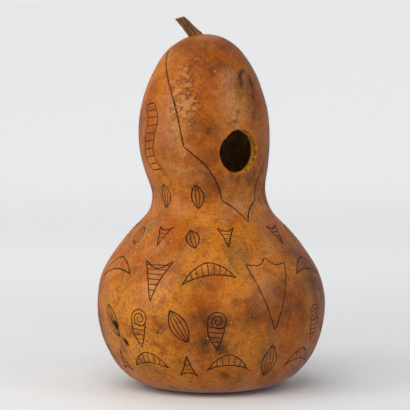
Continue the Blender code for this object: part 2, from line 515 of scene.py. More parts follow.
BLEMISHES_AND_SHEENS: tuple[Blemish, ...] = (
    # bruises that dried as pits, low on the belly
    *alike(
        Mark.PIT,
        (((-87.7, 50.8), (-86.6, 49)), 2.3),
        (((-82, 39.2), (-81.2, 37.6)), 2),
        (((-66.2, 50.7),), 1.1, 0.6),
        (((-66.6, 40.9),), 1, 0.7),
        (((-60.3, 47.8),), 1.2, 0.7),
        (((-55.8, 50.3),), 1, 0.6),
        (((117, 50), (119, 46)), 1.3, 0.9),
        (((160, 96),), 1.3, 0.7),
    ),
    # scorched and stained patches
    *alike(
        Mark.STAIN,
        (((-90.5, 55), (-87.5, 50)), 2.6, 0.6),
        (((-84, 42), (-81, 38)), 2.4, 0.4),
        (((-40, 235), (-10, 230), (6, 222)), 8, 0.32),
        (((-26, 170), (-34, 160)), 5, 0.35),
        (((10, 152), (24, 146)), 5, 0.4),
        (((-35, 42), (-28, 37)), 6.5, 0.8),
        (((-38, 59), (-26, 53)), 6.5, 0.66),
        (((-26, 54), (-14, 57), (-5, 52)), 6.5, 0.45),
        (((-60, 52), (-50, 56)), 4, 0.4),
        (((-3.6, 50), (-3.6, 28)), 6, 0.42),
        (((2, 76), (8, 66)), 8, 0.5),
        (((-27, 19), (-24, 17.6)), 3, 0.7),
        (((-17.5, 14), (-20, 20)), 7, 0.4),
        (((-73, 24), (-62, 17)), 4, 0.45),
        (((16, 66), (20, 56)), 4, 0.5),
        (((26, 100), (34, 88), (40, 72)), 12, 0.55),
        (((-38, 153), (-24, 147)), 5.5, 0.5),
        (((-44, 147), (-36, 166)), 4, 0.3),
        (((-8, 154), (4, 151), (16, 155)), 3, 0.5),
        (((-28, 186),), 3, 0.85),
        (((-42, 190), (-28, 185)), 7, 0.4),
        (((-24, 230), (-12, 233)), 5.5, 0.5),
        (((-80, 248), (-30, 247), (30, 248)), 7, 0.42),
        (((8.1, 219), (9, 225), (16, 227.6), (22, 224), (25, 218)), 1.9, 1),
        (((22, 213), (21, 204), (18, 196)), 1.6, 0.7),
        (((-80, 16), (-72, 8)), 0.9, 0.45),
        (((96, 62), (110, 52)), 7, 0.6),
        (((150, 46), (166, 34)), 6, 0.55),
        (((-140, 60), (-128, 50)), 6, 0.5),
        (((-160, 200), (-150, 180)), 5, 0.4),
    ),
    # strips where the wax went on thickly over bright rind
    *alike(
        Mark.GLOW,
        (((-24, 238), (-26, 215), (-28, 196), (-32, 172)), 9, 1),
        (((-60, 240), (-66, 222), (-70, 200)), 5, 0.6),
        (((-56, 238), (-30, 243), (-6, 238)), 9, 0.8),
        (((110, 230), (118, 190)), 9, 0.6),
    ),
    # bare rind that took little wax, bright low on the left
    *alike(
        Mark.GOLD,
        (((-84, 66), (-66, 58), (-60, 72)), 17, 0.8),
        (((-80, 36), (-62, 32)), 14, 0.95),
        (((-58, 98), (-36, 102)), 8, 0.3),
        (((-24, 40), (-16, 36)), 8, 0.5),
        (((-60, 130), (-40, 122)), 9, 0.4),
        (((-74, 152), (-66, 140)), 11, 0.6),
        (((16, 144), (26, 132)), 9, 0.5),
        (((120, 70), (150, 60)), 14, 0.6),
    ),
    # painted sheen: pale grey-tan bands, most on the bulb, where reflections of the soft boxes in the wax are
    # painted
    *alike(
        Mark.PAINTED_SHEEN,
        (((-4, 222), (-3, 204), (-1, 188)), 9, 0.8),
        (((-54, 200), (-55, 180), (-53, 160)), 8, 0.8),
        (((-60, 251), (-10, 252)), 6, 0.35),
        (((-6, 92), (0, 86)), 9, 0.4),
        (((-84, 120), (-76, 104)), 8, 0.3),
        (((140, 200), (150, 180)), 12, 0.5),
    ),
    # scabs of old skin
    *alike(
        Mark.CRUST,
        (((-53.5, 215), (-47, 203)), 6.5),
        (((-54, 230.5), (-51, 222)), 4, 0.8),
        (((-60, 203), (-58, 196)), 3, 0.7),
        (((-44, 212), (-38, 204)), 4, 0.6),
        (((-50, 238), (-36, 234)), 4, 0.5),
        (((-8, 190), (-2, 200)), 5, 0.4),
        (((134, 216), (138, 206)), 6, 0.7),
    ),
)


# a low swelling on the side of the belly
SWELLING = Blemish(Mark.CRUST, ((-122, 108), (-120, 94)), 24)
SWELLING_HEIGHT = 1.4  # millimetres


# ---------------------------------------------------------------- finishes


def mixed(tree: Tree, share: object, first: object, second: object, blend: str = "MIX"
          ) -> Socket:
    """Return a colour mixed from two, each a socket or a hex code, by a share, a socket or a number."""
    node = add_node(tree, "ShaderNodeMix", data_type="RGBA", blend_type=blend)
    for number, value in ((0, share), (6, first), (7, second)):
        if isinstance(value, Socket):
            tree.links.new(value, node.inputs[number])
        else:
            node.inputs[number].default_value = linear(value) if isinstance(value, str) else value
    return node.outputs[2]


def ranged(tree: Tree, source: Socket, low: float, high: float,
           bottom: float = 0.0, top: float = 1.0) -> Socket:
    """Return a value stretched from low..high to bottom..top, with soft ends."""
    limits = {"From Min": low, "From Max": high, "To Min": bottom, "To Max": top}
    node = add_node(tree, "ShaderNodeMapRange", limits, {"Value": source}, interpolation_type="SMOOTHSTEP")
    return node.outputs["Result"]


def noisy(tree: Tree, place: Socket, size: float, detail: float = 3.0,
          twist: float = 0.0) -> Socket:
    """Return noise whose largest features are this many millimetres wide, at a place in metres."""
    values = {"Scale": 1.0 / (size * MM), "Detail": detail, "Distortion": twist}
    return add_node(tree, "ShaderNodeTexNoise", values, {"Vector": place}).outputs["Fac"]


def moved(tree: Tree, place: Socket, shift: tuple, scale: tuple = (1, 1, 1)
          ) -> Socket:
    """Return a place moved and stretched, so that two patterns differ."""
    node = add_node(tree, "ShaderNodeMapping", {"Location": shift, "Scale": scale}, {"Vector": place})
    return node.outputs["Vector"]


def attribute(tree: Tree, name: str) -> Socket:
    """Return the value of a mesh attribute."""
    return add_node(tree, "ShaderNodeAttribute", attribute_name=name).outputs["Fac"]


def bumped(tree: Tree, height: Socket, strength: float, relief: float) -> Socket:
    """Return normals bumped by a height whose whole range is this many millimetres of relief."""
    values = {"Strength": strength, "Distance": relief * MM}
    return add_node(tree, "ShaderNodeBump", values, {"Height": height}).outputs["Normal"]


def preset(shader: bpy.types.Node, values: dict[str, float]) -> None:
    """Set a shader's plain values, by the names of its inputs."""
    for name, value in values.items():
        shader.inputs[name].default_value = value


@dataclass(frozen=True)
class Finish:
    """A material with one Principled shader, which each finish dresses in its own way."""

    name: str = "finish"

    def make(self) -> bpy.types.Material:
        """Return the material."""
        made = bpy.data.materials.new(self.name)
        made.use_nodes = True
        tree = made.node_tree
        place = add_node(tree, "ShaderNodeTexCoord").outputs["Object"]
        self.dress(tree, tree.nodes["Principled BSDF"], place)
        return made

    def dress(self, tree: Tree, shader: bpy.types.Node, place: Socket) -> None:
        """Dress the shader, given places in the piece's own coordinates."""
        raise NotImplementedError


@dataclass(frozen=True)
class WaxedRind(Finish):
    """Outside of a dried gourd, scraped, dried for months and rubbed with tinted wax.

    It is woody and takes the wax unevenly, so golden rind shows between darker clouds. The wax gives a
    satin shine that turns pale where the eye grazes it.
    """

    name: str = "waxed_gourd_rind"
    golden: str = "#C07016"
    orange: str = "#A45106"
    tan: str = "#B57A42"
    glow: str = "#A04C00"
    gold: str = "#CB811E"
    # painted sheen: the pale tan of reflections in the wax
    sheen_tan: str = "#B87A40"
    scab: str = "#BF7F46"
    umber: str = "#693108"
    olive: str = "#755212"
    # plum of the right side: partly its own tint, partly painted shade away from the key light
    plum_and_shade: str = "#713622"
    burn: str = "#34180C"
    ink: str = "#160A05"

    def dress(self, tree: Tree, shader: bpy.types.Node, place: Socket) -> None:
        """Dress the shader, given places in the piece's own coordinates."""
        tree.links.new(self.colour(tree, place), shader.inputs["Base Color"])
        tree.links.new(self.roughness(tree, place), shader.inputs["Roughness"])
        tree.links.new(self.bump(tree, place), shader.inputs["Normal"])
        preset(shader, {"IOR": 1.45, "Specular IOR Level": 0.2, "Coat Weight": 0.18, "Coat Roughness": 0.27})

    def colour(self, tree: Tree, place: Socket) -> Socket:
        """Return the rind's colour: clouds 42, 24, 19 and 4.6 mm wide, streaks, grain, specks, marks, painted
        sheen and the right side's plum, partly painted shade.
        """
        clouds = ranged(tree, noisy(tree, place, 42.0, 4.0, 0.4), 0.4, 0.6)
        base = mixed(tree, clouds, self.golden, self.orange)
        streaks = noisy(tree, moved(tree, place, (0.3, 0.1, 0.0), (1.0, 1.0, 0.28)), 13.0, 3.0, 0.3)
        base = mixed(tree, ranged(tree, streaks, 0.5, 0.68, 0.0, 0.6), base, self.tan)
        dull = noisy(tree, moved(tree, place, (0.2, 0.9, 0.6)), 24.0, 4.0, 0.5)
        base = mixed(tree, ranged(tree, dull, 0.53, 0.66, 0.0, 0.6), base, self.olive)
        middle = noisy(tree, moved(tree, place, (0.7, 0.2, 0.4)), 19.0, 5.0, 1.0)
        base = mixed(tree, ranged(tree, middle, 0.5, 0.74, 0.0, 0.55), base, self.umber)
        # the right side turns plum: partly its own tint, partly painted shade
        base = mixed(tree, attribute(tree, "plum_tint_and_shade"), base, self.plum_and_shade)
        # the third pair paints sheen: pale bands where the wax would reflect the soft boxes
        for mark, shade in ((Mark.GLOW, self.glow), (Mark.GOLD, self.gold), (Mark.PAINTED_SHEEN, self.sheen_tan)):
            base = mixed(tree, attribute(tree, mark.value), base, shade)
        fine = noisy(tree, moved(tree, place, (0.5, 0.5, 0.1)), 4.6, 6.0, 1.4)
        base = mixed(tree, ranged(tree, fine, 0.48, 0.72, 0.0, 0.42), base, self.umber)
        base = mixed(tree, ranged(tree, fine, 0.5, 0.3, 0.0, 0.42), base, self.golden)
        grain = noisy(tree, place, 1.5, 4.0, 0.8)
        base = mixed(tree, ranged(tree, grain, 0.5, 0.64, 0.0, 0.5), base, self.umber)
        specks = add_node(tree, "ShaderNodeTexVoronoi", {"Scale": 1.0 / (6.0 * MM), "Randomness": 1.0},
                          {"Vector": place}).outputs["Distance"]
        base = mixed(tree, ranged(tree, specks, 0.11, 0.04, 0.0, 0.8), base, self.burn)
        crust = ranged(tree, attribute(tree, Mark.CRUST.value), 0.3, 1.0, 0.0, 0.6)
        base = mixed(tree, crust, base, self.scab)
        base = mixed(tree, attribute(tree, Mark.STAIN.value), base, self.burn)
        base = mixed(tree, attribute(tree, Mark.PIT.value), base, self.ink)
        return mixed(tree, ranged(tree, attribute(tree, "groove"), 0.0, 0.45, 0.0, 0.97), base, self.ink)

    def roughness(self, tree: Tree, place: Socket) -> Socket:
        """Return the roughness: satin wax, duller in worn patches, on scabs and in the engraving."""
        worn = ranged(tree, noisy(tree, moved(tree, place, (0.1, 0.4, 0.8)), 9.0, 4.0), 0.35, 0.7, 0.34, 0.55)
        sources = {0: attribute(tree, "groove"), 1: attribute(tree, "crust")}
        marks = add_node(tree, "ShaderNodeMath", {}, sources, operation="MAXIMUM")
        sources = {0: marks.outputs[0], 2: worn}
        return add_node(tree, "ShaderNodeMath", {1: 0.3}, sources, operation="MULTIPLY_ADD").outputs[0]

    def bump(self, tree: Tree, place: Socket) -> Socket:
        """Return the skin's fine relief: dimples 3 mm wide under grain 0.8 mm wide."""
        dimples = noisy(tree, place, 3.0, 4.0)
        grain = noisy(tree, moved(tree, place, (0.3, 0.3, 0.3)), 0.8, 2.0)
        both = add_node(tree, "ShaderNodeMath", {1: 0.3}, {0: grain, 2: dimples}, operation="MULTIPLY_ADD")
        return bumped(tree, both.outputs[0], 0.6, 0.22)


@dataclass(frozen=True)
class SawnPith(Finish):
    """Cut edge of the rind: soft, fibrous and ochre yellow, left rough by the saw and waxed by accident."""

    name: str = "sawn_gourd_pith"
    ochre: str = "#D08A20"
    straw: str = "#C8953F"
    brown: str = "#8A5518"

    def dress(self, tree: Tree, shader: bpy.types.Node, place: Socket) -> None:
        """Dress the shader, given places in the piece's own coordinates."""
        fibre = noisy(tree, moved(tree, place, (0.0, 0.0, 0.0), (1.0, 0.3, 1.0)), 1.6, 3.0)
        base = mixed(tree, ranged(tree, fibre, 0.42, 0.62), self.ochre, self.brown)
        base = mixed(tree, attribute(tree, "depth"), base, self.straw)
        tree.links.new(base, shader.inputs["Base Color"])
        tree.links.new(ranged(tree, fibre, 0.3, 0.7, 0.55, 0.8), shader.inputs["Roughness"])
        tree.links.new(bumped(tree, fibre, 0.6, 0.3), shader.inputs["Normal"])


@dataclass(frozen=True)
class DryPith(Finish):
    """Inside of the rind: the dried, scraped remains of the flesh, matt straw brown in deep shade."""

    name: str = "scraped_gourd_inside"
    brown: str = "#CFA270"
    dark: str = "#B08354"

    def dress(self, tree: Tree, shader: bpy.types.Node, place: Socket) -> None:
        """Dress the shader, given places in the piece's own coordinates."""
        shreds = noisy(tree, place, 6.0, 5.0, 0.8)
        base = mixed(tree, ranged(tree, shreds, 0.35, 0.65), self.brown, self.dark)
        tree.links.new(base, shader.inputs["Base Color"])
        tree.links.new(ranged(tree, shreds, 0.3, 0.7, 0.8, 0.95), shader.inputs["Roughness"])
        tree.links.new(bumped(tree, shreds, 0.8, 0.8), shader.inputs["Normal"])


@dataclass(frozen=True)
class DryStalk(Finish):
    """Dried stalk: ridged woody fibre, olive brown, with painted shade darkening its furrows, paler at its cut
    end.
    """

    name: str = "dried_gourd_stalk"
    olive: str = "#80592C"
    russet: str = "#74431F"
    dark: str = "#3A2210"
    cut: str = "#8E7040"

    def dress(self, tree: Tree, shader: bpy.types.Node, place: Socket) -> None:
        """Dress the shader, given places in the piece's own coordinates."""
        long = moved(tree, place, (0.0, 0.0, 0.0), (1.0, 1.0, 0.22))
        fibre = noisy(tree, long, 1.3, 4.0, 0.3)
        patch = noisy(tree, moved(tree, place, (0.4, 0.2, 0.0), (1.0, 1.0, 0.5)), 4.5, 3.0)
        base = mixed(tree, ranged(tree, patch, 0.4, 0.62), self.olive, self.russet)
        base = mixed(tree, ranged(tree, fibre, 0.48, 0.68, 0.0, 0.6), base, self.dark)
        # painted shade in the furrows between the ridges
        base = mixed(tree, attribute(tree, "furrow"), base, self.dark)
        base = mixed(tree, attribute(tree, "cut"), base, self.cut)
        tree.links.new(base, shader.inputs["Base Color"])
        tree.links.new(ranged(tree, fibre, 0.3, 0.7, 0.6, 0.82), shader.inputs["Roughness"])
        tree.links.new(bumped(tree, fibre, 0.7, 0.25), shader.inputs["Normal"])


@dataclass(frozen=True)
class VarnishBead(Finish):
    """A drop of varnish that stood up and set: clear amber, hard and glossy, so it glints."""

    name: str = "set_varnish_bead"
    amber: str = "#C8935A"

    def dress(self, tree: Tree, shader: bpy.types.Node, place: Socket) -> None:
        """Dress the shader, given places in the piece's own coordinates."""
        tint = ranged(tree, noisy(tree, place, 8.0, 2.0), 0.3, 0.7)
        tree.links.new(mixed(tree, tint, self.amber, "#E2BE8E"), shader.inputs["Base Color"])
        preset(shader, {"Roughness": 0.08, "IOR": 1.5, "Coat Weight": 1.0, "Coat Roughness": 0.03})


@dataclass(frozen=True)
class Paper(Finish):
    """Seamless studio paper: plain, pale and matt.

    It glows a little behind the gourd, as if lamps of its own lit it: one glow grows over the floor, and
    one more over the wall, and they are added together.
    """

    name: str = "studio_paper"
    white: str = "#E3E4E5"
    floor_reach: tuple[float, float] = (0.15, 1.0)  # metres behind the middle where it starts and is full
    floor_glow: float = 0.24
    wall_reach: tuple[float, float] = (0.9, 2.6)
    wall_glow: float = 0.18
    behind: tuple[float, float, float] = (0.545, 0.839, 0.0)

    def dress(self, tree: Tree, shader: bpy.types.Node, place: Socket) -> None:
        """Dress the shader, given places in the piece's own coordinates."""
        away = add_node(tree, "ShaderNodeVectorMath", {1: self.behind}, {0: place}, operation="DOT_PRODUCT")
        shader.inputs["Base Color"].default_value = linear(self.white)
        shader.inputs["Emission Color"].default_value = linear(self.white)
        low = ranged(tree, away.outputs["Value"], *self.floor_reach, 0.0, self.floor_glow)
        high = ranged(tree, away.outputs["Value"], *self.wall_reach, 0.0, self.wall_glow)
        glow = add_node(tree, "ShaderNodeMath", {}, {0: low, 1: high}, operation="ADD")
        tree.links.new(glow.outputs[0], shader.inputs["Emission Strength"])
        preset(shader, {"Roughness": 0.9, "Specular IOR Level": 0.2})


# ---------------------------------------------------------------- geometry nodes


@dataclass
class NodeRecipe:
    """A geometry node tree with named inputs, and how it is run on a mesh or curve."""

    name: str
    sizes: dict[str, float | int | object] = field(default_factory=dict)

    def start(self) -> tuple[Tree, bpy.types.Node, bpy.types.Node]:
        """Return a new tree, its input node and its output node."""
        kinds = {int: "NodeSocketInt", float: "NodeSocketFloat", bpy.types.Material: "NodeSocketMaterial"}
        tree = bpy.data.node_groups.new(self.name, "GeometryNodeTree")
        tree.interface.new_socket(name="Geometry", in_out="INPUT", socket_type="NodeSocketGeometry")
        for name, value in self.sizes.items():
            tree.interface.new_socket(name=name, in_out="INPUT", socket_type=kinds[type(value)])
        tree.interface.new_socket(name="Geometry", in_out="OUTPUT", socket_type="NodeSocketGeometry")
        return tree, tree.nodes.new("NodeGroupInput"), tree.nodes.new("NodeGroupOutput")

    def run(self, host: bpy.types.Object, tree: Tree, name: str) -> bpy.types.Object:
        """Run the tree on a host, which is removed, and return what it makes as a plain mesh.

        Args:
            host: The mesh or curve that the tree starts from.
            tree: A finished tree.
            name: Name of the new piece.

        Returns:
            The new piece.
        """
        modifier = host.modifiers.new(self.name, "NODES")
        modifier.node_group = tree
        for item in tree.interface.items_tree:
            if item.in_out == "INPUT" and item.name in self.sizes:
                modifier[item.identifier] = self.sizes[item.name]
        graph = bpy.context.evaluated_depsgraph_get()
        mesh = bpy.data.meshes.new_from_object(host.evaluated_get(graph), depsgraph=graph)
        mesh.name = name
        host.modifiers.remove(modifier)
        bpy.data.objects.remove(host)
        return link(mesh, name)


def scatter(tree: Tree, source: bpy.types.Node, thing: Socket,
            turn: Socket | None = None) -> Socket:
    """Scatter a thing over the input mesh and return the realized copies.

    Args:
        tree: The tree to build in.
        source: Its input node, with Density, Seed, Smallest, Largest and Material.
        thing: The mesh to copy.
        turn: A further turn of each copy, or none.
    """
    place = add_node(tree, "GeometryNodeInputPosition")
    split = add_node(tree, "ShaderNodeSeparateXYZ", {}, {0: place.outputs[0]})
    above = add_node(tree, "FunctionNodeCompare", {1: CLEAR_OF_FLOOR}, {0: split.outputs[2]},
                     operation="GREATER_THAN")
    points = add_node(tree, "GeometryNodeDistributePointsOnFaces", {},
                      {"Mesh": source.outputs["Geometry"], "Density": source.outputs["Density"],
                       "Seed": source.outputs["Seed"], "Selection": above.outputs[0]},
                      distribute_method="RANDOM")
    limits = {2: source.outputs["Smallest"], 3: source.outputs["Largest"], "Seed": source.outputs["Seed"]}
    size = add_node(tree, "FunctionNodeRandomValue", {}, limits, data_type="FLOAT")
    facing = points.outputs["Rotation"]
    if turn is not None:
        turned = add_node(tree, "FunctionNodeRotateRotation", {}, {0: facing, 1: turn}, rotation_space="LOCAL")
        facing = turned.outputs[0]
    copies = add_node(tree, "GeometryNodeInstanceOnPoints", {},
                      {"Points": points.outputs["Points"], "Instance": thing, "Rotation": facing,
                       "Scale": size.outputs[1]})
    whole = add_node(tree, "GeometryNodeRealizeInstances", {}, {0: copies.outputs[0]})
    smooth = add_node(tree, "GeometryNodeSetShadeSmooth", {"Shade Smooth": True}, {0: whole.outputs[0]})
    dressed = add_node(tree, "GeometryNodeSetMaterial", {}, {"Geometry": smooth.outputs[0],
                       "Material": source.outputs["Material"]})
    return dressed.outputs[0]


# ---------------------------------------------------------------- the rind


@dataclass
class Sheet:
    """Triangles that fill the chart, and what is known of their corners."""

    chart: np.ndarray
    triangles: np.ndarray
    borders: set[tuple[int, int]]
    rim: list[int]
    bottom: list[int]
    top: list[int]


@dataclass
class Rind:
    """The rind: its engraved outside, the sawn wall of its hole and its hollow inside, as one mesh.

    Attributes:
        form: The rule of its outside.
        spacing: Distance between the corners of its skin, in millimetres.
        fine_spacing: The same under crusts and round the hole.
        inner_spacing: The same inside.
        hole_radius: Radius of the hole.
        hole_height: Height of the hole's middle.
        rim_steps: Corners round the hole.
        lumps: Height of the broad waves in the skin.
    """

    form: GourdForm
    spacing: float = 1.5
    fine_spacing: float = 0.62
    inner_spacing: float = 4.2
    hole_radius: float = 16.0
    hole_height: float = 171.7
    rim_steps: int = 128
    lumps: float = 0.75

    def rim_reach(self, angle: np.ndarray) -> np.ndarray:
        """Return the hole's radius at angles round it: sawn by hand, so it is a little uneven."""
        angle = np.asarray(angle, float)
        around = np.column_stack([np.cos(angle) * 3.0, np.sin(angle) * 3.0, np.zeros(len(angle))])
        flat = 0.9 * np.exp(-(((angle - math.radians(138.0) + math.pi) % math.tau - math.pi) / 0.42) ** 2)
        nick = 0.7 * np.exp(-(((angle - math.radians(84.0) + math.pi) % math.tau - math.pi) / 0.10) ** 2)
        ragged = 0.34 * rough(around, 2.2, 3.0) + 0.3 * rough(around, 0.45, 4.0)
        return self.hole_radius + ragged - flat - nick

    def rim_chart(self, wall: float) -> np.ndarray:
        """Return the hole's rim on the chart, for the skin this far inside the outer one.

        Args:
            wall: Distance inwards, in millimetres: 0 outside, and the wall's thickness inside.
        """
        angle = np.arange(self.rim_steps) / self.rim_steps * math.tau
        reach = self.rim_reach(angle) - (0.7 if wall else 0.0)
        middle = self.form.lean_at(np.array(self.hole_height))[0]
        goal = np.column_stack([middle + reach * np.cos(angle), self.hole_height + reach * np.sin(angle)])
        climb = np.interp(goal[:, 1], self.form.height[self.form.foot :], self.form.climb[self.form.foot :])
        chart = np.column_stack([np.arcsin((goal[:, 0] - middle) / self.form.radius_at(climb)), climb])
        for _ in range(12):
            here = self.form.place(chart) - self.form.facing(chart) * wall
            radius = self.form.radius_at(chart[:, 1]) - wall
            chart[:, 0] += (goal[:, 0] - here[:, 0]) / (radius * np.cos(chart[:, 0]))
            chart[:, 1] += (goal[:, 1] - here[:, 2]) / self.form.radius_at(chart[:, 1])
        return chart

    def in_hole(self, places: np.ndarray, margin: float) -> np.ndarray:
        """Return which places are in front of the axis and inside the hole widened by a margin."""
        middle = self.form.lean_at(np.array(self.hole_height))[0]
        across, up = places[:, 0] - middle, places[:, 2] - self.hole_height
        reach = self.rim_reach(np.arctan2(up, across)) if len(places) else np.zeros(0)
        return (np.hypot(across, up) < reach + margin) & (places[:, 1] < 0.0)

    def rows(self, spacing: float, low: float, high: float, left: float, right: float) -> list[np.ndarray]:
        """Return staggered rows of points, this far apart, over one stretch of the chart."""
        made = []
        climb, odd = low, False
        while climb < high:
            radius = float(self.form.radius_at(climb))
            count = max(9, int(round((right - left) * radius / spacing)))
            shift = 0.5 if odd else 0.0
            bearings = left + (np.arange(count) + shift) * (right - left) / count
            made.append(np.column_stack([bearings, np.full(count, climb)]))
            climb += 0.87 * spacing / radius
            odd = not odd
        return made

    def background(self, spacing: float, patches: bool) -> tuple[np.ndarray, np.ndarray]:
        """Return the points that fill the chart, and those along its two side edges, low to high."""
        rows = self.rows(spacing, self.form.climb[0], self.form.climb[-1], -math.pi, math.pi)
        last = -math.pi + np.arange(9) * math.tau / 9
        rows.append(np.column_stack([last, np.full(9, self.form.climb[-1])]))
        edge = np.array([row[0, 1] for row in rows])
        inner = np.vstack([row[(row[:, 0] > -math.pi + 1e-6)] for row in rows])
        if patches:
            for low, high, left, right in self.fine_patches():
                inside = (inner[:, 0] > left) & (inner[:, 0] < right)
                inside &= (inner[:, 1] > low) & (inner[:, 1] < high)
                inner = np.vstack([inner[~inside], *self.rows(self.fine_spacing, low, high, left, right)])
        return inner, edge

    def fine_patches(self) -> list[tuple[float, float, float, float]]:
        """Return the stretches of chart under the crusts and pits, as low, high, left and right."""
        stretches = ((196, 236, -64, -38), (34, 55, -92, -54))
        made = []
        for low, high, left, right in stretches:
            climbs = (self.form.climb_at(low), self.form.climb_at(high))
            made.append((*climbs, math.radians(left), math.radians(right)))
        return made

    def fill(self, spacing: float, strokes: Sequence[Stroke], rim: np.ndarray, wall: float) -> Sheet:
        """Fill the chart with triangles that follow the strokes and the hole's rim.

        Args:
            spacing: Distance between corners away from the strokes.
            strokes: Engraved lines, or none.
            rim: The hole's rim on the chart.
            wall: Distance of this skin inside the outer one.

        Returns:
            The triangles, with the two sides of the chart already joined.
        """
        inner, edge = self.background(spacing, bool(strokes))
        inner = inner[self.clear_of(inner, strokes, 0.62)]
        near = np.abs(inner[:, 0]) < 0.8
        skin = self.form.place(inner[near]) - self.form.facing(inner[near]) * wall
        near[near] = self.in_hole(skin, 0.45 * spacing)
        inner = inner[~near]
        sides = [np.column_stack([np.full(len(edge), side), edge]) for side in (-math.pi, math.pi)]
        points = [*sides, inner, rim]
        count = sum(len(p) for p in points)
        first_rim = count - len(rim)
        constraints = [(first_rim + i, first_rim + (i + 1) % len(rim)) for i in range(len(rim))]
        plain = len(constraints)
        centres = []
        for stroke in strokes:
            middle, border = self.groove_lines(stroke)
            points += [middle, border]
            centres += [(count + i, count + i + 1) for i in range(len(middle) - 1)]
            count += len(middle)
            constraints += [(count + i, count + (i + 1) % len(border)) for i in range(len(border))]
            count += len(border)
        border_count = len(constraints)
        every = np.vstack(points)
        corners, edges, faces, origin, edge_origin, _ = delaunay_2d_cdt(
            [Vector(p) for p in every.tolist()], constraints + centres, [], 0, 1e-6)
        chart = np.array([tuple(c) for c in corners])
        triangles = np.array(faces)
        middle = chart[triangles].mean(axis=1)
        holed = np.abs(middle[:, 0]) < 0.8
        skin = self.form.place(middle[holed]) - self.form.facing(middle[holed]) * wall
        holed[holed] = self.in_hole(skin, 0.0)
        triangles = triangles[~holed]
        new = {old: i for i, group in enumerate(origin) for old in group}
        joined = np.arange(len(chart))
        for i in range(len(edge)):
            joined[new[len(edge) + i]] = new[i]
        triangles = joined[triangles]
        borders = set()
        for (a, b), group in zip(edges, edge_origin):
            if any(plain <= old < border_count for old in group):
                borders.add((min(joined[a], joined[b]), max(joined[a], joined[b])))
        rim_corners = [int(joined[new[first_rim + i]]) for i in range(len(rim))]
        used = np.unique(triangles)
        bottom = self.level(chart, used, self.form.climb[0])
        top = self.level(chart, used, self.form.climb[-1])
        return Sheet(chart, triangles, borders, rim_corners, bottom, top)

    def level(self, chart: np.ndarray, used: np.ndarray, climb: float) -> list[int]:
        """Return the corners in use at one climb, in order of bearing."""
        here = used[np.abs(chart[used, 1] - climb) < 1e-7]
        return here[np.argsort(chart[here, 0])].tolist()

    def groove_lines(self, stroke: Stroke) -> tuple[np.ndarray, np.ndarray]:
        """Return a stroke's middle line and the closed border round it."""
        middle = stroke.points
        along_it = np.gradient(middle, axis=0)
        along_it /= np.maximum(np.linalg.norm(along_it, axis=1, keepdims=True), 1e-9)
        aside = np.column_stack([-along_it[:, 1], along_it[:, 0]])
        reach = (self.half_widths(stroke) / self.form.radius_at(middle[:, 1]))[:, None]
        left, right = middle + aside * reach, middle - aside * reach
        start, end = middle[:1] - along_it[:1] * reach[0], middle[-1:] + along_it[-1:] * reach[-1]
        return middle, np.vstack([start, right, end, left[::-1]])

    def half_widths(self, stroke: Stroke) -> np.ndarray:
        """Return the half width at each point: cut by hand, so it wavers, and it tapers at both ends."""
        steps = np.arange(len(stroke.points))
        taper = np.clip(0.6 + 0.2 * np.minimum(steps, steps[::-1]), 0.6, 1.0)
        waver = 1.0 + 0.16 * np.sin(steps * 0.9 + len(steps)) * np.cos(steps * 0.37)
        return stroke.half_width * taper * waver

    def stroke_samples(self, strokes: Sequence[Stroke]) -> tuple[np.ndarray, np.ndarray, np.ndarray]:
        """Return close points on the strokes' middles as places, with the half width and depth at each."""
        places, widths, depths = [], [], []
        for stroke in strokes:
            width = self.half_widths(stroke)
            steps = np.arange(len(width))
            depth = stroke.depth * np.clip(0.5 + 0.25 * np.minimum(steps, steps[::-1]), 0.5, 1.0)
            fine = np.linspace(0, len(width) - 1, 4 * (len(width) - 1) + 1)
            chart = np.column_stack([np.interp(fine, steps, stroke.points[:, i]) for i in (0, 1)])
            places.append(self.form.place(chart))
            widths.append(np.interp(fine, steps, width))
            depths.append(np.interp(fine, steps, depth))
        return np.vstack(places), np.concatenate(widths), np.concatenate(depths)

    def clear_of(self, chart: np.ndarray, strokes: Sequence[Stroke], gap: float) -> np.ndarray:
        """Return which points are at least a gap, in millimetres, from the borders of every stroke."""
        if not strokes:
            return np.ones(len(chart), bool)
        places, widths, _ = self.stroke_samples(strokes)
        tree = self.tree_of(places)
        found = [tree.find(Vector(p)) for p in self.form.place(chart).tolist()]
        return np.array([distance > widths[i] + gap for _, i, distance in found])

    def tree_of(self, places: np.ndarray) -> KDTree:
        """Return a search tree of places."""
        tree = KDTree(len(places))
        for i, place in enumerate(places.tolist()):
            tree.insert(place, i)
        tree.balance()
        return tree

    def engrave(self, places: np.ndarray, strokes: Sequence[Stroke]) -> tuple[np.ndarray, np.ndarray]:
        """Return how deep each place is cut, in millimetres, and how dark the cut is there, from 0 to 1."""
        samples, widths, depths = self.stroke_samples(strokes)
        tree = self.tree_of(samples)
        reach = float(widths.max())
        depth, dark = np.zeros(len(places)), np.zeros(len(places))
        for i, place in enumerate(places.tolist()):
            for _, j, distance in tree.find_range(place, reach):
                share = max(0.0, 1.0 - distance / widths[j])
                depth[i] = max(depth[i], share * depths[j])
                dark[i] = max(dark[i], share)
        return depth, dark

